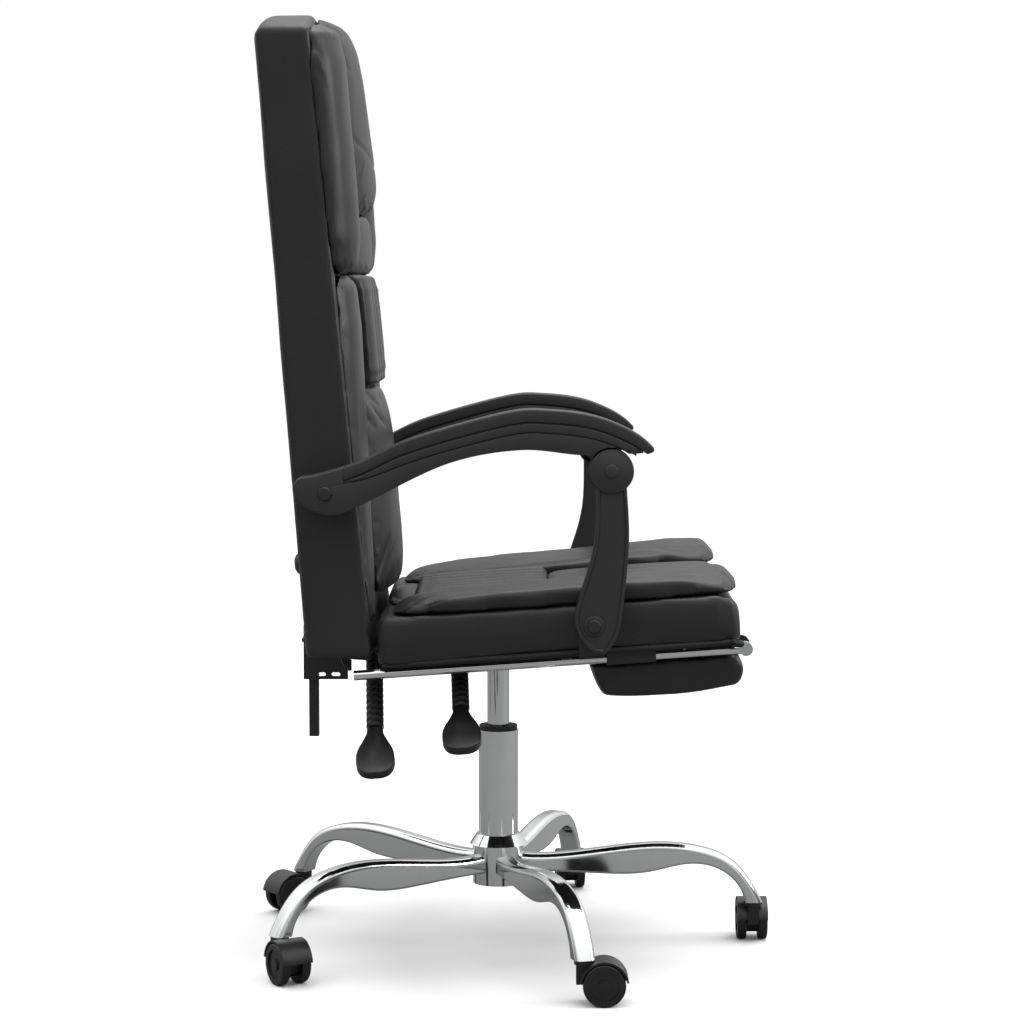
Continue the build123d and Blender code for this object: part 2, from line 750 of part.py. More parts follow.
def back_bracket():
    low = recline_at[1] - bracket_below
    flange_bottom = bottom - sheet
    rear = recline_at[0] - bracket_behind
    front = recline_at[0] + bracket_ahead
    cheek = oblong((rear, front), (low, flange_bottom))
    cheek -= Pos(front + bracket_bite_out, low + bracket_bite_height) * Circle(bracket_bite)
    for ahead in bracket_slots:
        slot = SlotOverall(bracket_slot, bracket_slot_width)
        cheek -= Pos(recline_at[0] + ahead, low + bracket_slot_height) * slot
    cheek -= Pos(*recline_at) * Circle(pivot_radius + running_fit)
    cheek_outer = bracket_inner + hinge_arm_thick
    right = slab(cheek, bracket_inner, cheek_outer)
    plate = oblong((rear, rear + sheet), (low, bottom + bracket_lip))
    flange = oblong((rear, recline_at[0] + flange_front), (flange_bottom, bottom))
    body = right + mirror(right, about=Plane.YZ) + slab(plate, -cheek_outer, cheek_outer)
    body += slab(flange, -flange_half, flange_half)
    for bolt in bracket_bolts(bolt_radius + running_fit):
        body -= bolt
    return body


nodes["back_bracket"] = back_bracket()
bar_rear = recline_at[0] - bracket_behind + sheet
bar_top = recline_at[1] - lock_bar_top
bar_outline = oblong((bar_rear, bar_rear + lock_bar_width), (bar_top - lock_bar_length, bar_top))
nodes["lock_bar"] = slab(bar_outline, -lock_bar_thick / 2, lock_bar_thick / 2)
pin_reach = hinge_arm_outer + hinge_pin_end
nodes["hinge_pin"] = cross_pin(recline_at, pivot_radius, -pin_reach, pin_reach)


def cap(centre, start):
    button = cross_pin(centre, cap_radius, start, start + cap_thick)
    return fillet(button.edges().sort_by(Axis.X)[0], cap_rounding)


def back_bolts():
    bolts = []
    for shank in bracket_bolts(bolt_radius):
        centre = shank.center()
        bolts.append(shank + hex_head(centre.X, centre.Y, bottom - sheet))
    cap_start = arm_outer + pass_gap
    pivot = cross_pin(arm_at, pivot_radius, back_half - arm_bolt_grip, cap_start) + cap(arm_at, cap_start)
    pivot += cross_pin(arm_at, pivot_washer, back_half, arm_inner - pass_gap)
    return Compound(children=bolts + [pivot, mirror(pivot, about=Plane.YZ)])


nodes["back_bolts"] = back_bolts()


# Armrests: the outline is drawn from the rear pivot, and a curve parts the top pad from the arm


def arm_point(ahead, up):
    return (arm_at[0] + ahead, arm_at[1] + up)


def arm_blank():
    crest = Spline(arm_point(-38, 6), arm_point(-30, 18), arm_point(-13, 21), arm_point(38, 36),
                   arm_point(99, 63.3), arm_point(210, 93.8), arm_point(261, 96), arm_point(310, 89.5),
                   arm_point(350, 74), arm_point(373, 58.5), arm_point(381, 49))
    belly = Spline(crest @ 1, arm_point(359, 43.3), arm_point(294, 44.3), arm_point(224, 50),
                   arm_point(140, 34), arm_point(44, -12), arm_point(10, -24.5), arm_point(-20, -17),
                   crest @ 0)
    return slab(make_face([crest, belly]), arm_inner, arm_outer)


def above_parting(gap):
    drop = arm_pad_thick + gap
    parting = Spline(arm_point(20, 42 - drop), arm_point(99, 63.3 - drop), arm_point(210, 93.8 - drop),
                     arm_point(261, 96 - drop), arm_point(310, 89.5 - drop), arm_point(350, 74 - drop),
                     arm_point(372, 58 - drop), arm_point(400, 36 - drop))
    roof = [arm_point(400, 150), arm_point(20, 150)]
    sides = [Line(parting @ 1, roof[0]), Line(roof[0], roof[1]), Line(roof[1], parting @ 0)]
    return slab(make_face([parting] + sides), arm_inner, arm_outer)


def armrest():
    body = arm_blank() - above_parting(arm_pad_gap)
    body -= cross_pin(link_at, disc_radius + disc_room, lug_outer, arm_outer)
    lug = Pos(0, arm_lug_rise / 2) * Rectangle(2 * arm_lug_radius, arm_lug_rise)
    body += slab(Pos(*link_at) * (Circle(arm_lug_radius) + lug), arm_inner, lug_outer)
    body -= cross_pin(link_at, pivot_radius + link_play, arm_inner, lug_outer)
    return body - cross_pin(arm_at, pivot_radius + running_fit, arm_inner, arm_outer)


def upright_outline():
    def near_link(ahead, up):
        return (link_at[0] + ahead, link_at[1] + up)

    def near_foot(ahead, up):
        return (upright_at[0] + ahead, upright_at[1] + up)

    rear = Spline(near_link(-17, -10), near_link(-17.6, -65), near_foot(-4, 75), near_foot(-21, 18),
                  near_foot(-19, -6), near_foot(-6, -25), near_foot(8, -32))
    front = Spline(near_foot(8, -32), near_foot(20, -24), near_foot(34, 28), near_link(20.5, -65),
                   near_link(17, -10))
    return make_face([rear, front, Line(front @ 1, rear @ 0)])


def upright():
    boss_start = plate_outer + 2 * pass_gap
    body = slab(upright_outline(), upright_inner, upright_outer)
    body += cross_pin(link_at, disc_radius, upright_inner, upright_outer)
    body += cross_pin(upright_at, upright_boss_radius, boss_start, upright_inner)
    body += cross_pin(link_at, pivot_radius, arm_inner + pass_gap, upright_inner)
    body += cap(link_at, upright_outer)
    return body - cross_pin(upright_at, pivot_radius + running_fit, boss_start, upright_outer)


both_sides("armrest", armrest())
both_sides("armrest_pad", arm_blank() & above_parting(0))
both_sides("upright", upright())

plate_run = (bracket_plate_rear, bracket_plate_front)
arm_bracket = block((seat_half - bracket_plate_reach, plate_outer), plate_run, (-sheet, 0))
arm_bracket += block((plate_inner, plate_outer), plate_run, (-sheet, bracket_plate_height))
bolt_hole = cross_pin(upright_at, pivot_radius + running_fit, plate_inner, plate_outer)
nodes["arm_brackets"] = pair(on_seat(arm_bracket) - bolt_hole)

upright_cap_start = upright_outer + pass_gap
upright_bolt = cross_pin(upright_at, pivot_radius, plate_inner, upright_cap_start)
nodes["upright_bolts"] = pair(upright_bolt + cap(upright_at, upright_cap_start))


# Footrest, drawn in the seat's frame


def footrest_rails():
    forward = footrest_axle_forward
    axle = bar_along_x(footrest_axle_radius, (-rail_side, rail_side), forward, -rail_drop)
    bore = bar_along_x(footrest_axle_radius + running_fit, (-rail_side, rail_side), forward, -rail_drop)
    pieces = [axle]
    for x in (-rail_side, rail_side):
        knuckle = (x - knuckle_width / 2, x + knuckle_width / 2)
        rail = bar_along_y(rail_radius, x, (-rail_rear, forward), -rail_drop)
        rail += bar_along_x(knuckle_radius, knuckle, forward, -rail_drop)
        rail += Pos(x, rail_stop_forward, -rail_drop) * extrude(Circle(rail_stop_radius), rail_stop_height)
        pieces.append(rail - bore)
    return Compound(children=pieces)


def footrest_guide():
    guide = block((rail_side - guide_width / 2, rail_side + guide_width / 2), (guide_rear, guide_front),
                  (-guide_height, 0))
    lower = [e for e in guide.edges().filter_by(Axis.Y) if (e @ 0.5).Z < -1]
    guide = fillet(lower, guide_rounding)
    return guide - bar_along_y(rail_radius + running_fit, rail_side, (guide_rear, guide_front), -rail_drop)


def footrest_board():
    forward = footrest_axle_forward
    half = rest_half - rest_board_inset
    z_range = (-rest_board_drop - rest_board_thick, -rest_board_drop)
    board = block((-half, half), (rest_rear + rest_board_heel, forward - rest_board_toe), z_range)
    for x in (rest_lug_inset - rest_half, rest_half - rest_lug_inset):
        x_range = (x - rest_lug_width / 2, x + rest_lug_width / 2)
        board += block(x_range, (forward - rest_board_toe - sheet, forward), z_range)
        board += bar_along_x(footrest_axle_radius + rest_lug_wall, x_range, forward, -rail_drop)
    bore_radius = footrest_axle_radius + running_fit
    return board - bar_along_x(bore_radius, (-rest_half, rest_half), forward, -rail_drop)


def rest_section(x, inset):
    high = -rest_board_drop - rest_board_thick
    low = high - rest_depth + inset
    rear = rest_rear + inset
    front = rest_front - inset
    toe = (front - rest_toe, low + rest_toe_drop)
    heel = (rear + rest_heel, low + rest_heel_drop)
    middle = (high + low) / 2
    outline = [Line((rear, high), (toe[0], high)), ThreePointArc((toe[0], high), (front, middle), toe),
               ThreePointArc(toe, ((heel[0] + toe[0]) / 2, low), heel),
               ThreePointArc(heel, (rear + rest_heel_drop, middle), (rear, high))]
    return Pos(x, 0, 0) * (Plane.YZ * make_face(outline))


def footrest_pad():
    sections = []
    for share in pad_shares():
        sections.append(rest_section(rest_half * (2 * share - 1), rest_draw * (1 - fullness(share))))
    return loft(sections, ruled=True)


rail_pieces = footrest_rails().children
nodes["footrest_rails"] = Compound(children=[on_seat(piece) for piece in rail_pieces])
nodes["footrest_guides"] = pair(on_seat(footrest_guide()))
nodes["footrest_board"] = on_seat(footrest_board())
nodes["footrest_pad"] = on_seat(footrest_pad())

os.makedirs("parts", exist_ok=True)
for name, shape in nodes.items():
    export_step(shape, f"parts/{name}.step")
print(len(nodes), "nodes")
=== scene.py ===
import json
import math

import bmesh
import bpy
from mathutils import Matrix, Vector, noise
from mathutils.geometry import interpolate_bezier, intersect_point_line


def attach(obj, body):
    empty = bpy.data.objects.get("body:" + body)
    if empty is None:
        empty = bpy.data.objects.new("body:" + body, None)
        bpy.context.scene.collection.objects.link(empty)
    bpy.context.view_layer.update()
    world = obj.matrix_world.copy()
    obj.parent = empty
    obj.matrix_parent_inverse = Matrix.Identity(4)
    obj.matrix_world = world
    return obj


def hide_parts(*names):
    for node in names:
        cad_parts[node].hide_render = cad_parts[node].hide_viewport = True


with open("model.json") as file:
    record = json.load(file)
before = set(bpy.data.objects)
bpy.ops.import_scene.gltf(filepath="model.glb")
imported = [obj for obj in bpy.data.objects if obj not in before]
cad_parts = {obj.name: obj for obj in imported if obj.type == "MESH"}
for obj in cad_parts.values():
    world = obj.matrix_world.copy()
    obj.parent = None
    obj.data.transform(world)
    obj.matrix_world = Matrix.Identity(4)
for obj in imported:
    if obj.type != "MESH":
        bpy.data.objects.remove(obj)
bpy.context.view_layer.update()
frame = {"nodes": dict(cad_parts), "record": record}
nodes = frame["nodes"]
scene = bpy.context.scene
print("frame:", len(nodes), "nodes")

# The chair faces -Y and the sitter's right is -X. The seat tilts and the back leans, so each has its own frame.
seatFrame = {"height": 0.3947, "tilt": math.radians(4), "top": 0.056}
backFrame = {"y": 0.146, "z": 0.396, "lean": math.radians(5.5), "rearLean": math.radians(4.46), "thick": 0.078}


def seatPoint(x, forward, up):  # x to the sitter's left, up square to the tilted seat
    c, s = math.cos(seatFrame["tilt"]), math.sin(seatFrame["tilt"])
    return Vector((x, -forward * c + up * s, seatFrame["height"] + forward * s + up * c))


def backPoint(x, along, out):  # along the front of the back, out square to it
    c, s = math.cos(backFrame["lean"]), math.sin(backFrame["lean"])
    return Vector((x, backFrame["y"] + along * s - out * c, backFrame["z"] + along * c + out * s))


def rearFace(x, height):  # on the rear of the back, height above the floor
    rise = height - backFrame["z"]
    return Vector((x, backFrame["y"] + backFrame["thick"] + rise * math.tan(backFrame["rearLean"]), height))


seatUp = seatPoint(0, 0, 1) - seatPoint(0, 0, 0)
seatAhead = seatPoint(0, 1, 0) - seatPoint(0, 0, 0)
backOut = backPoint(0, 0, 1) - backPoint(0, 0, 0)
backAlong = backPoint(0, 1, 0) - backPoint(0, 0, 0)
backGround = backPoint(0, 0, 0)
seatGround = seatPoint(0, 0, seatFrame["top"])


# Helpers


def newPiece(name, bm):
    mesh = bpy.data.meshes.new(name)
    bm.normal_update()
    bm.to_mesh(mesh)
    bm.free()
    piece = bpy.data.objects.new(name, mesh)
    scene.collection.objects.link(piece)
    return piece


def bake(piece):  # applies the live modifiers
    graph = bpy.context.evaluated_depsgraph_get()
    mesh = bpy.data.meshes.new_from_object(piece.evaluated_get(graph))
    piece.modifiers.clear()
    piece.data = mesh
    return piece


def subdivide(piece, levels):
    modifier = piece.modifiers.new("rounding", "SUBSURF")
    modifier.levels = modifier.render_levels = levels
    return piece


def finishPiece(piece, body, finish, angle=None):
    piece.data.materials.clear()
    piece.data.materials.append(finishes[finish])
    piece.data.shade_smooth()
    if angle:
        piece.data.set_sharp_from_angle(angle=math.radians(angle))
    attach(piece, body)
    return piece


def mirrored(piece, name):
    bm = bmesh.new()
    bm.from_mesh(piece.data)
    bmesh.ops.scale(bm, vec=(-1, 1, 1), verts=bm.verts)
    bmesh.ops.reverse_faces(bm, faces=bm.faces)
    return newPiece(name, bm)


def smoothLine(points, steps=8):  # a curve through the points
    points = [Vector(p).to_3d() for p in points]
    line = []
    for k, (a, b) in enumerate(zip(points, points[1:])):
        before = points[max(k - 1, 0)]
        after = points[min(k + 2, len(points) - 1)]
        line += interpolate_bezier(a, a + (b - before) / 6, b - (after - a) / 6, b, steps + 1)[:-1]
    return line + [points[-1]]


# Materials


def linkUp(tree, source, target):
    tree.links.new(source, target)


def newGroup(name, inputs, outputs):
    group = bpy.data.node_groups.new(name, "ShaderNodeTree")
    for socket, kind in inputs:
        group.interface.new_socket(socket, in_out="INPUT", socket_type=kind)
    for socket, kind in outputs:
        group.interface.new_socket(socket, in_out="OUTPUT", socket_type=kind)
    return group, group.nodes.new("NodeGroupInput"), group.nodes.new("NodeGroupOutput")


def addNode(tree, kind, settings=None, values=None):
    made = tree.nodes.new(kind)
    for key, value in (settings or {}).items():
        setattr(made, key, value)
    for key, value in (values or {}).items():
        made.inputs[key].default_value = value
    return made


def makeGrainGroup():  # pebbled hide: small cells, soft creases and slow mottling
    number, place = "NodeSocketFloat", "NodeSocketVector"
    group, given, made = newGroup("hideGrain", [("Vector", place), ("Pebbles", number), ("Creases", number)],
                                  [("Height", number), ("Slow", number)])
    cells = addNode(group, "ShaderNodeTexVoronoi", {"feature": "SMOOTH_F1"}, {"Smoothness": 0.6})
    creases = addNode(group, "ShaderNodeTexNoise", None, {"Detail": 4.0, "Roughness": 0.6, "Distortion": 0.8})
    slow = addNode(group, "ShaderNodeTexNoise", None, {"Scale": 9.0, "Detail": 2.0})
    add = addNode(group, "ShaderNodeMath", {"operation": "MULTIPLY_ADD"}, {1: 0.5})
    for texture in (cells, creases, slow):
        linkUp(group, given.outputs["Vector"], texture.inputs["Vector"])
    linkUp(group, given.outputs["Pebbles"], cells.inputs["Scale"])
    linkUp(group, given.outputs["Creases"], creases.inputs["Scale"])
    linkUp(group, cells.outputs["Distance"], add.inputs[0])
    linkUp(group, creases.outputs["Fac"], add.inputs[2])
    linkUp(group, add.outputs["Value"], made.inputs["Height"])
    linkUp(group, slow.outputs["Fac"], made.inputs["Slow"])
    return group


def makeSpeckleGroup():  # fine moulded texture with slow handling marks
    number, place = "NodeSocketFloat", "NodeSocketVector"
    group, given, made = newGroup("mouldGrain", [("Vector", place), ("Grain", number), ("Marks", number)],
                                  [("Height", number), ("Slow", number)])
    grain = addNode(group, "ShaderNodeTexNoise", None, {"Detail": 2.0, "Roughness": 0.7})
    marks = addNode(group, "ShaderNodeTexNoise", None, {"Detail": 5.0, "Roughness": 0.65})
    for texture, scale in ((grain, "Grain"), (marks, "Marks")):
        linkUp(group, given.outputs["Vector"], texture.inputs["Vector"])
        linkUp(group, given.outputs[scale], texture.inputs["Scale"])
    linkUp(group, grain.outputs["Fac"], made.inputs["Height"])
    linkUp(group, marks.outputs["Fac"], made.inputs["Slow"])
    return group


hideGrain = makeGrainGroup()
mouldGrain = makeSpeckleGroup()


def surface(name, group, look):
    material = bpy.data.materials.new(name)
    material.use_nodes = True
    tree = material.node_tree
    shader = tree.nodes["Principled BSDF"]
    for socket, value in look.get("shader", {}).items():
        shader.inputs[socket].default_value = value
    place = addNode(tree, "ShaderNodeTexCoord")
    detail = addNode(tree, "ShaderNodeGroup", {"node_tree": group}, look["scales"])
    linkUp(tree, place.outputs["Object"], detail.inputs["Vector"])
    colours = addNode(tree, "ShaderNodeMix", {"data_type": "RGBA"})
    colours.inputs["A"].default_value = (*look["colours"][0], 1)
    colours.inputs["B"].default_value = (*look["colours"][1], 1)
    linkUp(tree, detail.outputs["Slow"], colours.inputs["Factor"])
    linkUp(tree, colours.outputs["Result"], shader.inputs["Base Color"])
    rough = addNode(tree, "ShaderNodeMapRange", None,
                    {"From Min": 0.3, "From Max": 0.7, "To Min": look["rough"][0], "To Max": look["rough"][1]})
    linkUp(tree, detail.outputs["Slow"], rough.inputs["Value"])
    linkUp(tree, rough.outputs["Result"], shader.inputs["Roughness"])
    bump = addNode(tree, "ShaderNodeBump", None, {"Strength": look["bump"][0], "Distance": look["bump"][1]})
    linkUp(tree, detail.outputs["Height"], bump.inputs["Height"])
    linkUp(tree, bump.outputs["Normal"], shader.inputs["Normal"])
    return material


def greys(dark, light):
    return (dark, dark, dark * 1.03), (light, light, light * 1.03)


finishes = {
    "leather": surface("coatedLeather", hideGrain, {
        "colours": greys(0.0095, 0.014), "rough": (0.38, 0.46), "bump": (0.16, 0.0008),
        "scales": {"Pebbles": 620.0, "Creases": 40.0}, "shader": {"Specular IOR Level": 0.42}}),
    "plastic": surface("mouldedPlastic", mouldGrain, {
        "colours": greys(0.017, 0.023), "rough": (0.46, 0.58), "bump": (0.12, 0.0005),
        "scales": {"Grain": 1400.0, "Marks": 12.0}, "shader": {"Specular IOR Level": 0.42}}),
    "castor": surface("castorNylon", mouldGrain, {
        "colours": greys(0.006, 0.012), "rough": (0.30, 0.42), "bump": (0.08, 0.0004),
        "scales": {"Grain": 1100.0, "Marks": 30.0}, "shader": {"Specular IOR Level": 0.45}}),
    "chrome": surface("polishedChrome", mouldGrain, {
        "colours": ((0.62, 0.63, 0.63), (0.72, 0.73, 0.73)), "rough": (0.06, 0.12), "bump": (0.02, 0.0002),
        "scales": {"Grain": 300.0, "Marks": 10.0}, "shader": {"Metallic": 1.0}}),
    "steel": surface("zincSteel", mouldGrain, {
        "colours": ((0.30, 0.30, 0.31), (0.42, 0.42, 0.43)), "rough": (0.28, 0.42), "bump": (0.06, 0.0003),
        "scales": {"Grain": 900.0, "Marks": 60.0}, "shader": {"Metallic": 1.0}}),
    "powder": surface("powderCoat", mouldGrain, {
        "colours": greys(0.008, 0.014), "rough": (0.38, 0.52), "bump": (0.15, 0.0005),
        "scales": {"Grain": 700.0, "Marks": 20.0}, "shader": {"Specular IOR Level": 0.45}}),
    "rubber": surface("sleeveRubber", mouldGrain, {
        "colours": greys(0.008, 0.012), "rough": (0.46, 0.60), "bump": (0.10, 0.0004),
        "scales": {"Grain": 900.0, "Marks": 40.0}, "shader": {"Specular IOR Level": 0.4}}),
    "board": surface("blackenedBoard", mouldGrain, {
        "colours": greys(0.008, 0.014), "rough": (0.6, 0.75), "bump": (0.15, 0.0006),
        "scales": {"Grain": 400.0, "Marks": 25.0}, "shader": {"Specular IOR Level": 0.3}}),
}
slotFinish = {"chrome": "chrome", "steel": "steel", "black_metal": "powder", "plastic": "plastic",
              "arm_top": "plastic", "sleeve": "rubber", "leather": "leather", "board": "board"}
nodeFinish = {"upright_bolts": "powder", "back_bolts": "powder", "castor_stems": "steel"}
for part in frame["record"]["subparts"]:
    name = part["node"]
    finish = nodeFinish.get(name, "castor" if name.startswith("castor_") else slotFinish[part["material_slot"]])
    nodes[name].data.materials.clear()
    nodes[name].data.materials.append(finishes[finish])
print("materials:", len(finishes))


# Upholstery: each pad starts from its solid, is remeshed and stuffed, most as cloth, and sewn

weldDistance = 0.00002
stuffing = {"quality": 3, "mass": 0.3, "stretch": 12.0, "bend": 2.0, "frames": 20}


def nodeCopy(node, name, keep=None):
    bm = bmesh.new()
    bm.from_mesh(nodes[node].data)
    bmesh.ops.remove_doubles(bm, verts=bm.verts, dist=weldDistance)
    if keep:
        bmesh.ops.delete(bm, geom=[f for f in bm.faces if not keep(f.calc_center_median())], context="FACES")
    bmesh.ops.recalc_face_normals(bm, faces=bm.faces)
    return newPiece(name, bm)


def remesh(piece, voxel, passes):
    modifier = piece.modifiers.new("voxels", "REMESH")
    modifier.mode = "VOXEL"
    modifier.voxel_size = voxel
    bake(piece)
    bm = bmesh.new()
    bm.from_mesh(piece.data)
    for number in range(passes):
        bmesh.ops.smooth_vert(bm, verts=bm.verts, factor=0.5, use_axis_x=True, use_axis_y=True, use_axis_z=True)
    bm.to_mesh(piece.data)
    bm.free()
    return piece


def withNormals(piece):  # the normals as they are before any vertex moves
    normals = [v.normal.copy() for v in piece.data.vertices]
    return list(zip(piece.data.vertices, normals))


def tuckIn(piece, ground, up, tuck):  # the pad starts smaller than its solid, flat on what carries it
    for vertex, normal in withNormals(piece):
        inward = -normal * tuck
        if (vertex.co - ground).dot(up) < 2.5 * tuck:
            inward -= up * inward.dot(up)
        vertex.co += inward


def blowUp(piece, ground, up, look):
    held = piece.vertex_groups.new(name="held")
    held.add([v.index for v in piece.data.vertices if (v.co - ground).dot(up) < look["held"]], 1.0, "REPLACE")
    start = [v.co.copy() for v in piece.data.vertices]
    cloth = piece.modifiers.new("stuffing", "CLOTH")
    settings = cloth.settings
    settings.quality = stuffing["quality"]
    settings.mass = stuffing["mass"]
    settings.tension_stiffness = settings.compression_stiffness = stuffing["stretch"]
    settings.bending_stiffness = stuffing["bend"]
    settings.use_pressure = True
    settings.uniform_pressure_force = look["pressure"]
    settings.effector_weights.gravity = 0
    settings.vertex_group_mass = held.name
    cloth.collision_settings.use_collision = False
    cloth.point_cache.frame_start = 1
    cloth.point_cache.frame_end = stuffing["frames"]
    for number in range(1, stuffing["frames"] + 1):
        scene.frame_set(number)
    bake(piece)
    scene.frame_set(1)
    for vertex, first in zip(piece.data.vertices, start):
        move = vertex.co - first
        if move.length > look["cap"]:
            vertex.co = first + move * (look["cap"] / move.length)
    piece.vertex_groups.clear()


def sew(piece, up, lines, depth, width):  # draws the cover in along each seam
    reach = 3 * width
    for vertex in piece.data.vertices if lines else []:
        nearest = reach
        for line in lines:
            for a, b in zip(line, line[1:]):
                foot, share = intersect_point_line(vertex.co, a, b)
                foot = a if share < 0 else b if share > 1 else foot
                offset = vertex.co - foot
                nearest = min(nearest, (offset - up * offset.dot(up)).length)
        if nearest < reach:
            vertex.co -= up * depth * math.exp(-(nearest / width) ** 2)


def part01(value, first, last):  # the share of the way from first to last, no less than 0 and no more than 1
    return min(max((value - first) / (last - first), 0), 1)


def squared(share, power):  # 1 in the middle, 0 at the edge, squarer with more power
    return (1 - share ** power) ** (1 / power)


def stretch(piece, ground, up, gain):  # moves the pad away from what it lies on
    for vertex in piece.data.vertices:
        height = (vertex.co - ground).dot(up)
        if height > 0:
            vertex.co += up * height * gain(vertex.co)


def fillEnds(piece, ground, up, ahead, look):  # stuffs the sewn ends, which taper in the solid
    first, last = look["run"]

    def gain(place):
        share = ((place - ground).dot(ahead) - first) / (last - first)
        wanted = look["full"][0 if share < 0.5 else 1]
        edge = min(abs(2 * share - 1), 1)
        power = padEnd["power"] + padEnd["gain"] * (wanted - padEnd["solid"])
        return max(wanted, squared(edge, power)) / max(padEnd["solid"], squared(edge, padEnd["power"])) - 1

    stretch(piece, ground, up, gain)


def fillSides(piece, ground, up, look):  # steeper sides, as on a loaf; the inner one only towards the front
    def gain(place):
        edge = 2 * part01(abs(place.x), *look["span"]) - 1
        return look["sideGain"] * (1 if edge > 0 else part01(seatReach(place), *look["run"])) * edge ** 6

    stretch(piece, ground, up, gain)


def spreadOut(piece, up, amount):  # fattens the pad along what it lies on
    for vertex, normal in withNormals(piece):
        vertex.co += (normal - up * normal.dot(up)) * amount


def wrapOver(piece, ground, up, look):  # draws the outer edge back round what the pad lies on
    start, end, depth = look["wrap"]
    for vertex in piece.data.vertices:
        beyond = part01(abs(vertex.co.x), start, end)
        low = max(1 - (vertex.co - ground).dot(up) / (4 * depth), 0)
        vertex.co -= up * depth * beyond * min(low, 1)


def keepIn(piece, walls):  # flattens the pad where it meets its neighbours
    for place, outward in walls:
        for vertex in piece.data.vertices:
            over = (vertex.co - place).dot(outward)
            if over > 0:
                vertex.co -= outward * over


def ruffle(piece, depth, scale, seed):  # slow unevenness of a stuffed cover
    offset = Vector((seed * 3.1, seed * 1.7, seed * 0.9))
    for vertex, normal in withNormals(piece):
        vertex.co += normal * depth * noise.noise((vertex.co + offset) * scale)


def ribGain(place):  # squares the ribs up between their seams
    share = abs(place.x / rib["pitch"] % 1 - 0.5) * 2
    solid = rib["edge"] + (rib["crown"] - rib["edge"]) * (1 - share ** 2)
    return rib["full"] * squared(share, rib["power"]) / solid - 1


def dressPad(piece, node, body):
    finishPiece(piece, body, "leather")
    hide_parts(node)
    return piece


def makePad(name, node, body, ground, up, look, keep=None):
    piece = remesh(nodeCopy(node, name, keep), look["voxel"], look["passes"])
    if "run" in look:
        fillEnds(piece, ground, up, backAlong if body == "back" else seatAhead, look)
    if "span" in look:
        fillSides(piece, ground, up, look)
    if look["cap"]:
        tuckIn(piece, ground, up, look["tuck"])
        blowUp(piece, ground, up, look)
        subdivide(piece, 1)
        bake(piece)
    if "gain" in look:
        stretch(piece, ground, up, look["gain"])
    spreadOut(piece, up, look["spread"])
    if "wrap" in look:
        wrapOver(piece, ground, up, look)
    ruffle(piece, look["ruffle"], look["ruffleScale"], len(name))
    sew(piece, up, look["seams"], look["seamDepth"], look["seamWidth"])
    keepIn(piece, look["walls"])
    return dressPad(piece, node, body)


def makePadPair(name, node, body, ground, up, look):
    right = makePad(name + "Right", node + "_right", body, ground, up, look)
    dressPad(mirrored(right, name + "Left"), node + "_left", body)


padEnd = {"solid": 0.2, "power": 4, "gain": 12}
padGap = {"wide": 0.0005, "narrow": 0.0003}
sideways = Vector((1, 0, 0))
backRuns = {"lumbar": 0.3115, "channels": 0.4485, "neck": 0.5195}
ribSpan = {"rear": -0.0985, "front": 0.0665}
panelHalf = {"back": 0.1185, "wing": 0.1200, "seat": 0.1124, "bolster": 0.1128}


def backWall(along, sign):
    return backPoint(0, along, 0), backAlong * sign


def seatWall(forward, sign):
    return seatPoint(0, forward, 0), seatAhead * sign


def between(half):
    return [(sideways * half, sideways), (-sideways * half, -sideways)]


basePad = {"voxel": 0.005, "passes": 2, "tuck": 0.002, "held": 0.004, "pressure": 9.0, "cap": 0.010,
           "ruffle": 0.0010, "ruffleScale": 16.0, "fill": 0.75, "seams": [], "seamDepth": 0.003, "seamWidth": 0.004,
           "walls": [], "spread": 0.005}
plainPad = dict(basePad, voxel=0.003, cap=0.0, ruffle=0.0005, spread=0.002)
backMiddle = between(panelHalf["back"])
wingWall = (-sideways * panelHalf["wing"], sideways)
belowChannels = backWall(backRuns["channels"] - padGap["wide"], 1)
aboveChannels = backWall(backRuns["channels"], -1)


def aboveNeck(place):
    return (place - backGround).dot(backAlong) > backRuns["neck"]


def backPad(name, node, look, keep=None):
    makePad(name, node, "back", backGround, backOut, look, keep)


wingPad = dict(basePad, cap=0.011, ruffle=0.0018, ruffleScale=14.0, run=(0.449, 0.737), full=(0.32, 0.40),
               wrap=(0.222, 0.2435, 0.005), walls=[wingWall, aboveChannels])
makePadPair("headrestWing", "headrest_wing", "back", backGround, backOut, wingPad)
backBolster = dict(basePad, run=(0.024, 0.448), full=(0.25, 0.45), wrap=(0.222, 0.238, 0.004),
                   walls=[wingWall, belowChannels])
makePadPair("backBolster", "back_bolster", "back", backGround, backOut, backBolster)

headSeam = [backPoint(-0.118, 0.62, 0.045), backPoint(0, 0.575, 0.055), backPoint(0.118, 0.62, 0.045)]
headPad = dict(basePad, ruffle=0.0014, seams=[headSeam], seamDepth=0.0012, run=(0.520, 0.755), full=(0.5, 0.3),
               walls=backMiddle + [backWall(backRuns["neck"] + padGap["wide"], -1)])
backPad("headPad", "headrest_cushion", headPad, aboveNeck)
neckRoll = dict(basePad, cap=0.006, run=(0.449, 0.519), full=(0.5, 0.8),
                walls=backMiddle + [backWall(backRuns["neck"], 1), aboveChannels])
backPad("neckRoll", "headrest_cushion", neckRoll, lambda place: not aboveNeck(place))
channelPanel = dict(plainPad, passes=1, run=(0.312, 0.448), full=(0.8, 0.55), seamDepth=0.004,
                    walls=backMiddle + [belowChannels, backWall(backRuns["lumbar"] + padGap["narrow"], -1)])
channelPanel["seams"] = [[backPoint(x * 0.059, along, 0.026) for along in channelPanel["run"]] for x in (-1, 0, 1)]
backPad("channelPanel", "back_channel_panel", channelPanel)
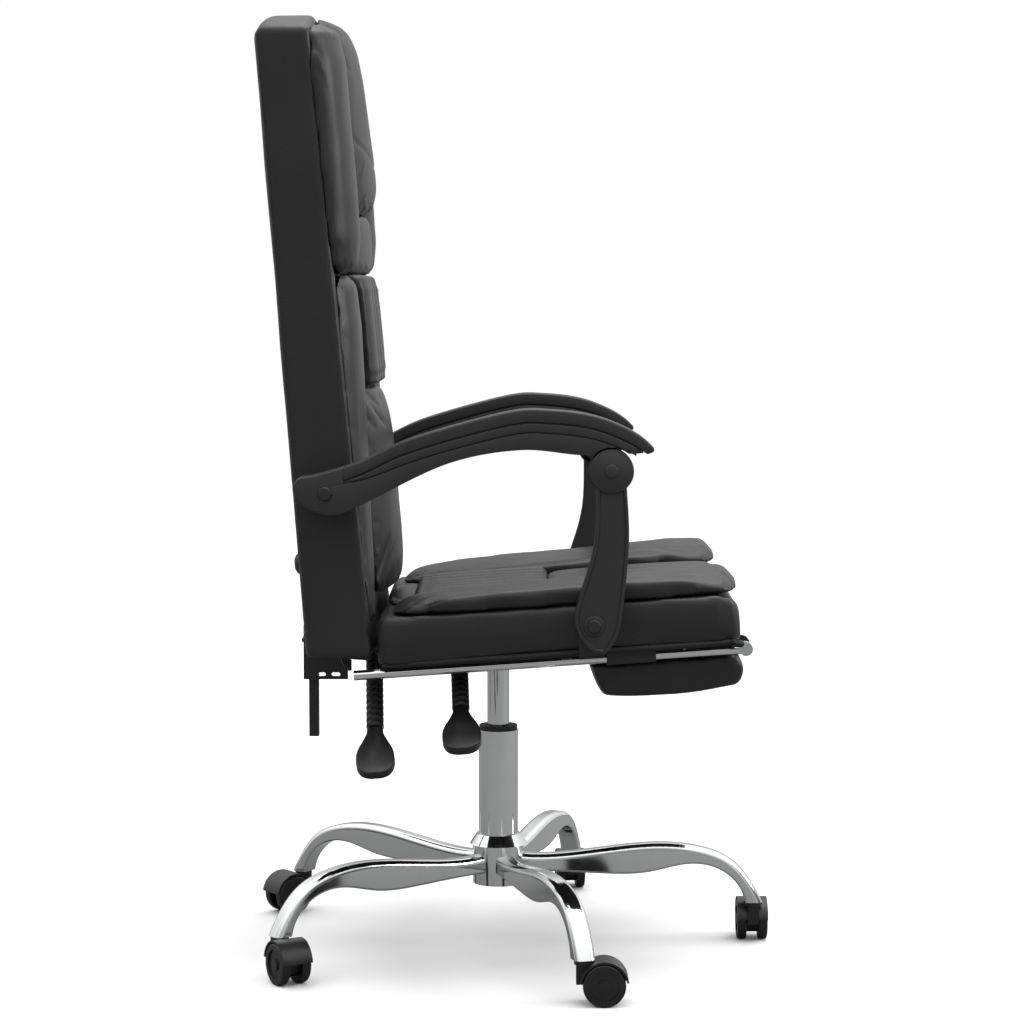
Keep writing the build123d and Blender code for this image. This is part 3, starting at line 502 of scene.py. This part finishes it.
lumbarPanel = dict(basePad, run=(0.060, 0.311), full=(0.7, 0.95), walls=backMiddle + [backWall(backRuns["lumbar"], 1)])
backPad("lumbarPanel", "lumbar_panel", lumbarPanel)
print("back pads")


def seatReach(place):
    return (place - seatGround).dot(seatAhead)


def seatPad(name, look, keep):
    makePad(name, "seat_centre_panel", "seat", seatGround, seatUp, look, keep)


seatMiddle = between(panelHalf["seat"])
seatBolster = dict(basePad, cap=0.0015, ruffle=0.0014, ruffleScale=12.0, fill=0.8, run=(-0.118, 0.287),
                   full=(0.5, 0.5), span=(0.113, 0.245), sideGain=1.9)
seatBolster["walls"] = [(-sideways * panelHalf["bolster"], sideways), (seatPoint(0, 0, 0.0562), -seatUp),
                        seatWall(0.289, 1)]
makePadPair("seatBolster", "seat_bolster", "seat", seatGround, seatUp, seatBolster)
rearPad = dict(basePad, cap=0.006, run=(-0.127, -0.099), full=(0.5, 0.7),
               walls=seatMiddle + [seatWall(ribSpan["rear"] - padGap["narrow"], 1)])
seatPad("seatRearPad", rearPad, lambda place: seatReach(place) < ribSpan["rear"])
rib = {"pitch": 0.0373, "crown": 0.011, "edge": 0.004, "full": 0.0155, "power": 3}
ribPad = dict(plainPad, voxel=0.002, passes=1, run=(-0.098, 0.066), full=(0.7, 0.7), gain=ribGain, ruffle=0.0004)
seatPad("seatRibs", ribPad, lambda place: ribSpan["rear"] < seatReach(place) < ribSpan["front"])
frontPad = dict(basePad, run=(0.067, 0.277), full=(0.7, 0.4),
                walls=seatMiddle + [seatWall(ribSpan["front"] + padGap["narrow"], -1)])
seatPad("seatFrontPad", frontPad, lambda place: seatReach(place) > ribSpan["front"])

restGround = seatPoint(0, 0, -0.020)
restPad = dict(plainPad, voxel=0.0035, ruffle=0.0012, fill=0.85, gain=lambda place: 0.14,
               walls=[(restGround, seatUp), seatWall(0.2915, 1)])
makePad("footrestPad", "footrest_pad", "footrest_flap", restGround, -seatUp, restPad)
print("seat and footrest pads")

coverPad = dict(basePad, voxel=0.004, cap=0.0, spread=0.0, ruffleScale=9.0, fill=0.9)
crown = {"half": 0.245, "shoulder": 1.128, "rise": 0.030, "radius": 0.019}


def roundCrown(piece):  # softens the rear edge of the crown, seen from the side
    radius = crown["radius"]
    for vertex in piece.data.vertices:
        top = crown["shoulder"] + crown["rise"] * (1 - (vertex.co.x / crown["half"]) ** 2)
        inside = Vector((radius - (rearFace(0, vertex.co.z).y - vertex.co.y), radius - (top - vertex.co.z)))
        if min(inside) > 0 and inside.length > radius:
            out = inside - inside.normalized() * radius
            vertex.co -= Vector((0, out.x, out.y))


roundCrown(makePad("backCover", "back_shell", "back", backGround, backOut, coverPad))
makePad("seatCover", "seat_cushion", "seat", seatGround, seatUp, coverPad)
print("covers")


# Piping under the seat's edge and screw caps on the rear of the back


def makePiping(name, points, radius, body):
    curve = bpy.data.curves.new(name, "CURVE")
    curve.dimensions = "3D"
    curve.bevel_depth = radius
    curve.bevel_resolution = 3
    curve.use_fill_caps = True
    path = curve.splines.new("POLY")
    path.points.add(len(points) - 1)
    for point, place in zip(path.points, points):
        point.co = (*place, 1)
    rope = bpy.data.objects.new(name, curve)
    scene.collection.objects.link(rope)
    mesh = bpy.data.meshes.new_from_object(rope.evaluated_get(bpy.context.evaluated_depsgraph_get()))
    bpy.data.objects.remove(rope)
    piece = bpy.data.objects.new(name, mesh)
    scene.collection.objects.link(piece)
    return finishPiece(piece, body, "board")


seatEdge = {"half": 0.2435, "rear": -0.134, "front": 0.276, "corner": 0.016, "draw": 0.004, "up": -0.0002,
            "radius": 0.0038}


def seatEdgePoints():
    half, rear, front, corner = seatEdge["half"], seatEdge["rear"], seatEdge["front"], seatEdge["corner"]
    right = [(-half + seatEdge["draw"], rear), (-half, 0.0), (-half, front - corner), (-half + corner, front)]
    corners = right + [(-x, forward) for x, forward in reversed(right)]
    return smoothLine([seatPoint(x, forward, seatEdge["up"]) for x, forward in corners])


makePiping("seatPiping", seatEdgePoints(), seatEdge["radius"], "seat")

rearCap = {"places": [(-0.2, 0.502), (0.2, 0.502)], "rise": [(0.0, 0.0075), (0.006, 0.0072), (0.0105, 0.0052),
                                                             (0.0128, 0.0022), (0.0134, -0.003)]}
rearScrew = {"places": [(-0.2, 0.416), (0.2, 0.416)], "rise": [(0.0, 0.0028), (0.003, 0.0026), (0.0048, 0.0014),
                                                                (0.0052, -0.003)]}


def makeCaps(name, look, finish):
    bm = bmesh.new()
    rear = (rearFace(0, 1) - rearFace(0, 0)).cross(sideways).normalized()
    for x, height in look["places"]:
        centre = rearFace(x, height)
        line = [bm.verts.new(centre + sideways * across + rear * up) for across, up in look["rise"]]
        edges = [bm.edges.new(pair) for pair in zip(line, line[1:])]
        bmesh.ops.spin(bm, geom=line + edges, cent=centre, axis=rear, angle=2 * math.pi, steps=32)
    bmesh.ops.remove_doubles(bm, verts=bm.verts, dist=weldDistance)
    bmesh.ops.holes_fill(bm, edges=bm.edges, sides=40)
    bmesh.ops.recalc_face_normals(bm, faces=bm.faces)
    finishPiece(newPiece(name, bm), "back", finish, 40)


makeCaps("rearCaps", rearCap, "plastic")
makeCaps("rearScrews", rearScrew, "powder")
print("piping and caps")


# Armrests and uprights, drawn from the side as (forward, up) and built from plates


def plate(bm, outline, inner, outer, rounding, rim=None):
    verts = [bm.verts.new((-outer, -forward, up)) for forward, up in outline]
    face = bmesh.ops.contextual_create(bm, geom=verts)["faces"][0]
    made = bmesh.ops.extrude_face_region(bm, geom=[face])["geom"]
    rear = [g for g in made if isinstance(g, bmesh.types.BMVert)]
    bmesh.ops.translate(bm, vec=(outer - inner, 0, 0), verts=rear)
    edges = list(face.edges) + [g for g in made if isinstance(g, bmesh.types.BMEdge)]
    if rim:
        bmesh.ops.inset_region(bm, faces=[face], thickness=rim["width"], use_even_offset=True)
        bmesh.ops.inset_region(bm, faces=[face], thickness=rim["slope"], depth=-rim["depth"], use_even_offset=True)
    bmesh.ops.bevel(bm, geom=edges, offset=rounding, offset_type="OFFSET", segments=3, profile=0.5,
                    affect="EDGES", clamp_overlap=True, material=-1)


def strip(bm, lines, inner, outer, rounding, rim=None):  # a band between two lines
    rows = [[bm.verts.new((-outer, -forward, up)) for forward, up in line] for line in lines]
    edges = [bm.edges.new(pair) for row in rows for pair in zip(row, row[1:])]
    faces = bmesh.ops.bridge_loops(bm, edges=edges)["faces"]
    made = bmesh.ops.extrude_face_region(bm, geom=faces)["geom"]
    rear = [g for g in made if isinstance(g, bmesh.types.BMVert)]
    bmesh.ops.translate(bm, vec=(outer - inner, 0, 0), verts=rear)
    touched = {e for v in rows[0] + rows[1] + rear for e in v.link_edges}
    bmesh.ops.recalc_face_normals(bm, faces=list({f for e in touched for f in e.link_faces}))
    sharp = [e for e in touched if len(e.link_faces) == 2 and e.calc_face_angle() > 0.7]
    if rim:
        bmesh.ops.inset_region(bm, faces=faces, thickness=rim["width"], use_even_offset=True, use_boundary=True)
        bmesh.ops.inset_region(bm, faces=faces, thickness=rim["slope"], depth=-rim["depth"], use_even_offset=True,
                               use_boundary=True)
    bmesh.ops.bevel(bm, geom=sharp, offset=rounding, offset_type="OFFSET", segments=3, profile=0.5,
                    affect="EDGES", clamp_overlap=True, material=-1)


def closePlates(name, bm):
    bmesh.ops.recalc_face_normals(bm, faces=bm.faces)
    return newPiece(name, bm)


def disc(centre, radius, count=40):
    turn = 2 * math.pi / count
    return [(centre[0] + radius * math.cos(k * turn), centre[1] + radius * math.sin(k * turn)) for k in range(count)]


arm = {
    "pivot": (-0.198, 0.591), "link": (0.1315, 0.6165), "inner": 0.249, "outer": 0.289, "lug": 0.2615,
    "crest": [(-0.038, 0.006), (-0.030, 0.018), (-0.013, 0.021), (0.038, 0.036), (0.099, 0.0633), (0.210, 0.0938),
              (0.261, 0.096), (0.310, 0.0895), (0.350, 0.074), (0.373, 0.0585), (0.381, 0.049)],
    "belly": [(-0.038, 0.006), (-0.020, -0.017), (0.010, -0.0245), (0.044, -0.012), (0.140, 0.034), (0.224, 0.050),
              (0.294, 0.0443), (0.359, 0.0433), (0.381, 0.049)],
    "pad": 0.0155, "ridge": 0.0095, "groove": 0.0014, "bite": 0.028, "rounding": 0.0014, "crown": 0.0022,
    "least": 0.0024, "fade": (0.005, 0.085), "ridgeRun": (0.03, 0.358), "heelRun": (-0.0362, 0.022),
    "lowerRun": (-0.006, 0.342), "coreRun": (-0.029, 0.366), "padRun": (0.0205, 0.3785), "heelInset": 0.0004,
    "coreInset": 0.003, "coreTop": 0.004, "coreBottom": 0.0025, "lugGap": 0.0002, "lugDisc": 0.019,
}
crestLine = smoothLine(arm["crest"])
bellyLine = smoothLine(arm["belly"])


def heightAt(line, ahead):
    for a, b in zip(line, line[1:]):
        if a.x <= ahead <= b.x:
            return a.y + (b.y - a.y) * (ahead - a.x) / max(b.x - a.x, 1e-9)
    return line[0].y if ahead < line[0].x else line[-1].y


def ridgeAt(ahead):  # the ridge runs out towards the rear bolt
    share = part01(ahead, *arm["fade"])
    return arm["ridge"] * share * share * (3 - 2 * share)


def spread(first, last, count):
    return [first + (last - first) * k / (count - 1) for k in range(count)]


def band(top, bottom, run, count=46):
    upper, lower = [], []
    for ahead in spread(*run, count):
        floor = heightAt(bellyLine, ahead)
        high = top(ahead)
        upper.append((arm["pivot"][0] + ahead, arm["pivot"][1] + high))
        lower.append((arm["pivot"][0] + ahead, arm["pivot"][1] + min(max(bottom(ahead), floor), high - arm["least"])))
    return upper, lower


def bitten(lines):  # keeps the lower line clear of the upright's disc
    kept = []
    for point in lines[1]:
        away = Vector(point) - Vector(arm["link"])
        kept.append(tuple(Vector(arm["link"]) + away.normalized() * max(away.length, arm["bite"])))
    return lines[0], kept


def crestAt(ahead):
    return heightAt(crestLine, ahead)


def padEdge(ahead):
    return crestAt(ahead) - arm["pad"]


def ridgeTop(ahead):
    return padEdge(ahead) - arm["groove"]


def ridgeBottom(ahead):
    return ridgeTop(ahead) - ridgeAt(ahead)


def lowerTop(ahead):
    return ridgeBottom(ahead) - arm["groove"]


def bellyAt(ahead):
    return heightAt(bellyLine, ahead)


def makeArmrest():
    inner, outer, lug = arm["inner"], arm["outer"], arm["lug"]
    bm = bmesh.new()
    lower = band(lowerTop, bellyAt, arm["lowerRun"])
    core = band(lambda a: crestAt(a) - arm["coreTop"], lambda a: bellyAt(a) + arm["coreBottom"], arm["coreRun"])
    strip(bm, band(ridgeTop, ridgeBottom, arm["ridgeRun"]), inner, outer, arm["rounding"] / 2)
    strip(bm, band(crestAt, bellyAt, arm["heelRun"], 14), inner, outer - arm["heelInset"], arm["crown"])
    strip(bm, bitten(lower), lug, outer, arm["rounding"])
    strip(bm, lower, inner, lug - arm["lugGap"], arm["rounding"])
    strip(bm, bitten(core), inner + arm["coreInset"], outer - arm["coreInset"], arm["rounding"] / 2)
    plate(bm, disc(arm["link"], arm["lugDisc"]), inner, lug, arm["rounding"])
    return closePlates("armrestRight", bm)


def makeArmPad():
    bm = bmesh.new()
    strip(bm, band(crestAt, padEdge, arm["padRun"]), arm["inner"], arm["outer"], arm["crown"])
    return closePlates("armrestPadRight", bm)


def fitPair(right, node, body):
    left = mirrored(right, right.name.replace("Right", "Left"))
    for piece, side in ((right, "_right"), (left, "_left")):
        finishPiece(piece, body + side, "plastic", 40)
        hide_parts(node + side)


fitPair(makeArmrest(), "armrest", "arm")
fitPair(makeArmPad(), "armrest_pad", "arm")

post = {
    "foot": (0.112, 0.4375), "inner": 0.262, "outer": 0.288, "disc": 0.026, "cap": 0.008, "capHeight": 0.0035,
    "rear": [(-0.017, -0.010, "link"), (-0.0176, -0.065, "link"), (-0.004, 0.075, "foot"), (-0.021, 0.018, "foot"),
             (-0.019, -0.006, "foot"), (-0.006, -0.025, "foot"), (0.003, -0.0312, "foot")],
    "front": [(0.017, -0.010, "link"), (0.0205, -0.065, "link"), (0.0385, 0.075, "foot"), (0.034, 0.028, "foot"),
              (0.029, -0.004, "foot"), (0.020, -0.024, "foot"), (0.013, -0.0312, "foot")],
    "rim": {"width": 0.0036, "slope": 0.0012, "depth": 0.0022}, "rounding": 0.0022, "discRise": 0.0006,
    "discDepth": 0.0008, "capRoot": 0.004, "capRounding": 0.0016, "footDisc": 0.012, "footRoot": 0.006,
    "spacer": 0.015, "spacerInner": 0.2555, "footRounding": 0.001,
}


def postLine(points):
    places = {"link": arm["link"], "foot": post["foot"]}
    line = smoothLine([(places[near][0] + ahead, places[near][1] + up) for ahead, up, near in points])
    return [(p.x, p.y) for p in line]


def makeUpright():
    bm = bmesh.new()
    inner, outer, link, foot = post["inner"], post["outer"], arm["link"], post["foot"]
    strip(bm, (postLine(post["rear"]), postLine(post["front"])), inner, outer, post["rounding"], post["rim"])
    plate(bm, disc(link, post["disc"]), inner, outer + post["discRise"], post["rounding"],
          dict(post["rim"], depth=post["discDepth"]))
    plate(bm, disc(link, post["cap"], 28), outer - post["capRoot"], outer + post["capHeight"], post["capRounding"])
    plate(bm, disc(foot, post["footDisc"], 32), outer - post["footRoot"], outer, post["footRounding"])
    plate(bm, disc(foot, post["spacer"], 32), post["spacerInner"], inner, post["footRounding"])
    return closePlates("uprightRight", bm)


fitPair(makeUpright(), "upright", "post")
print("arms")


# Lever paddles

levers = {
    "height_lever": {"forward": -0.048, "drop": 0.012, "elbow": 0.116, "droop": 32, "ribs": 9},
    "recline_lever": {"forward": -0.152, "drop": 0.003, "elbow": 0.088, "droop": 38, "ribs": 12},
}
paddle = {"start": 0.008, "pitch": 0.010, "thick": 0.012, "rounding": 0.0042,
          "half": [(0, 0.0095), (0.010, 0.0100), (0.022, 0.0145), (0.034, 0.0200), (0.046, 0.0228), (0.060, 0.0222),
                   (0.070, 0.0170), (0.0745, 0.0085), (0.0750, 0.0)]}


def makePaddle(body):
    lever = levers[body]
    edge = [(p.x, p.y) for p in smoothLine(paddle["half"], 4)]
    outline = edge + [(along, -across) for along, across in edge[-2::-1]]
    bm = bmesh.new()
    plate(bm, outline, -paddle["thick"] / 2, paddle["thick"] / 2, paddle["rounding"])
    bmesh.ops.recalc_face_normals(bm, faces=bm.faces)
    droop = math.radians(lever["droop"])
    for vertex in bm.verts:
        along = -vertex.co.y + paddle["start"] + lever["ribs"] * paddle["pitch"]
        across, up = vertex.co.z, -vertex.co.x
        aside = lever["elbow"] + along * math.cos(droop) + up * math.sin(droop)
        lift = -lever["drop"] - along * math.sin(droop) + up * math.cos(droop)
        vertex.co = seatPoint(-aside, lever["forward"] + across, lift)
    piece = finishPiece(newPiece(body.replace("_lever", "Paddle"), bm), body, "castor", 40)
    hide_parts(body + "_paddle")


for body in levers:
    makePaddle(body)
print("paddles")


# Studio

studio = {"floor": 16.0, "floorColour": 0.88, "floorGrey": 0.22, "side": 0.10, "zenith": 1.9, "rise": (0.1, 0.9)}
lamps = {"overhead": {"place": (0, -0.4, 3.2), "target": (0, 0, 0.6), "size": 2.4, "power": 50},
         "front": {"place": (-0.3, -3.2, 1.8), "target": (0, 0, 0.8), "size": 1.4, "power": 40}}
# How bright the chrome finds its surroundings, by direction round the chair, from behind it and round again
surroundings = [(0.0, 0.30), (0.09, 0.75), (0.16, 0.10), (0.25, 0.06), (0.33, 0.80), (0.42, 1.00), (0.50, 0.40),
                (0.56, 0.12), (0.63, 0.90), (0.72, 0.95), (0.80, 0.08), (0.90, 0.60), (1.0, 0.30)]
scene.view_settings.view_transform = "Standard"


def makeFloor():  # pale to the camera, greyer to the chrome and to bounced light
    bm = bmesh.new()
    bmesh.ops.create_grid(bm, x_segments=4, y_segments=4, size=studio["floor"] / 2)
    floor = newPiece("floor", bm)
    pale, grey = studio["floorColour"], studio["floorGrey"]
    material = surface("paleFloor", mouldGrain, {
        "colours": ((pale, pale, pale), (pale * 1.02, pale * 1.02, pale * 1.02)), "rough": (0.6, 0.7),
        "scales": {"Grain": 200.0, "Marks": 2.0}, "bump": (0.02, 0.0005), "shader": {"Specular IOR Level": 0.2}})
    tree = material.node_tree
    shade = addNode(tree, "ShaderNodeBsdfDiffuse", None, {"Color": (grey, grey, grey, 1)})
    path = addNode(tree, "ShaderNodeLightPath")
    mix = addNode(tree, "ShaderNodeMixShader")
    linkUp(tree, path.outputs["Is Camera Ray"], mix.inputs["Fac"])
    linkUp(tree, shade.outputs["BSDF"], mix.inputs[1])
    linkUp(tree, tree.nodes["Principled BSDF"].outputs["BSDF"], mix.inputs[2])
    linkUp(tree, mix.outputs["Shader"], tree.nodes["Material Output"].inputs["Surface"])
    floor.data.materials.append(material)


def makeSky():  # bright overhead, dim at the sides, with bright and dark panels for the chrome
    world = bpy.data.worlds.new("studioSky")
    scene.world = world
    world.use_nodes = True
    tree = world.node_tree
    tree.nodes.clear()
    place = addNode(tree, "ShaderNodeTexCoord")
    split = addNode(tree, "ShaderNodeSeparateXYZ")
    around = addNode(tree, "ShaderNodeMath", {"operation": "ARCTAN2"})
    turn = addNode(tree, "ShaderNodeMapRange", None, {"From Min": -math.pi, "From Max": math.pi})
    panels = addNode(tree, "ShaderNodeValToRGB")
    while len(panels.color_ramp.elements) < len(surroundings):
        panels.color_ramp.elements.new(0.5)
    for stop, (share, value) in zip(panels.color_ramp.elements, surroundings):
        stop.position = share
        stop.color = (value, value, value, 1)
    path = addNode(tree, "ShaderNodeLightPath")
    sides = addNode(tree, "ShaderNodeMix", {"data_type": "FLOAT"}, {"A": studio["side"]})
    height = addNode(tree, "ShaderNodeMapRange", {"interpolation_type": "SMOOTHSTEP"},
                     {"From Min": studio["rise"][0], "From Max": studio["rise"][1]})
    ramp = addNode(tree, "ShaderNodeMix", {"data_type": "FLOAT"}, {"B": studio["zenith"]})
    light = addNode(tree, "ShaderNodeBackground", None, {"Color": (1, 1, 1, 1)})
    seen = addNode(tree, "ShaderNodeBackground", None, {"Color": (1, 1, 1, 1), "Strength": 1.0})
    mix = addNode(tree, "ShaderNodeMixShader")
    out = addNode(tree, "ShaderNodeOutputWorld")
    linkUp(tree, place.outputs["Generated"], split.inputs["Vector"])
    linkUp(tree, split.outputs["Y"], around.inputs[0])
    linkUp(tree, split.outputs["X"], around.inputs[1])
    linkUp(tree, around.outputs["Value"], turn.inputs["Value"])
    linkUp(tree, turn.outputs["Result"], panels.inputs["Fac"])
    linkUp(tree, path.outputs["Is Glossy Ray"], sides.inputs["Factor"])
    linkUp(tree, panels.outputs["Color"], sides.inputs["B"])
    linkUp(tree, split.outputs["Z"], height.inputs["Value"])
    linkUp(tree, height.outputs["Result"], ramp.inputs["Factor"])
    linkUp(tree, sides.outputs["Result"], ramp.inputs["A"])
    linkUp(tree, ramp.outputs["Result"], light.inputs["Strength"])
    linkUp(tree, path.outputs["Is Camera Ray"], mix.inputs["Fac"])
    linkUp(tree, light.outputs["Background"], mix.inputs[1])
    linkUp(tree, seen.outputs["Background"], mix.inputs[2])
    linkUp(tree, mix.outputs["Shader"], out.inputs["Surface"])


def makeLight(name, look):
    lamp = bpy.data.lights.new(name, "AREA")
    lamp.size = look["size"]
    lamp.energy = look["power"]
    light = bpy.data.objects.new(name, lamp)
    light.location = look["place"]
    light.rotation_euler = (Vector(look["target"]) - Vector(look["place"])).to_track_quat("-Z", "Y").to_euler()
    scene.collection.objects.link(light)


makeFloor()
makeSky()
for name, look in lamps.items():
    makeLight(name, look)

camera = {"place": (-3.4208, -0.01725, 0.8138), "pitch": 4.45, "lens": 96.19, "sensor": 36.0}
lens = bpy.data.cameras.new("photoCamera")
lens.lens = camera["lens"]
lens.sensor_width = camera["sensor"]
viewer = bpy.data.objects.new("photoCamera", lens)
viewer.location = camera["place"]
viewer.rotation_euler = (math.radians(90 - camera["pitch"]), 0, math.radians(-90))
scene.collection.objects.link(viewer)
scene.camera = viewer
print("studio")
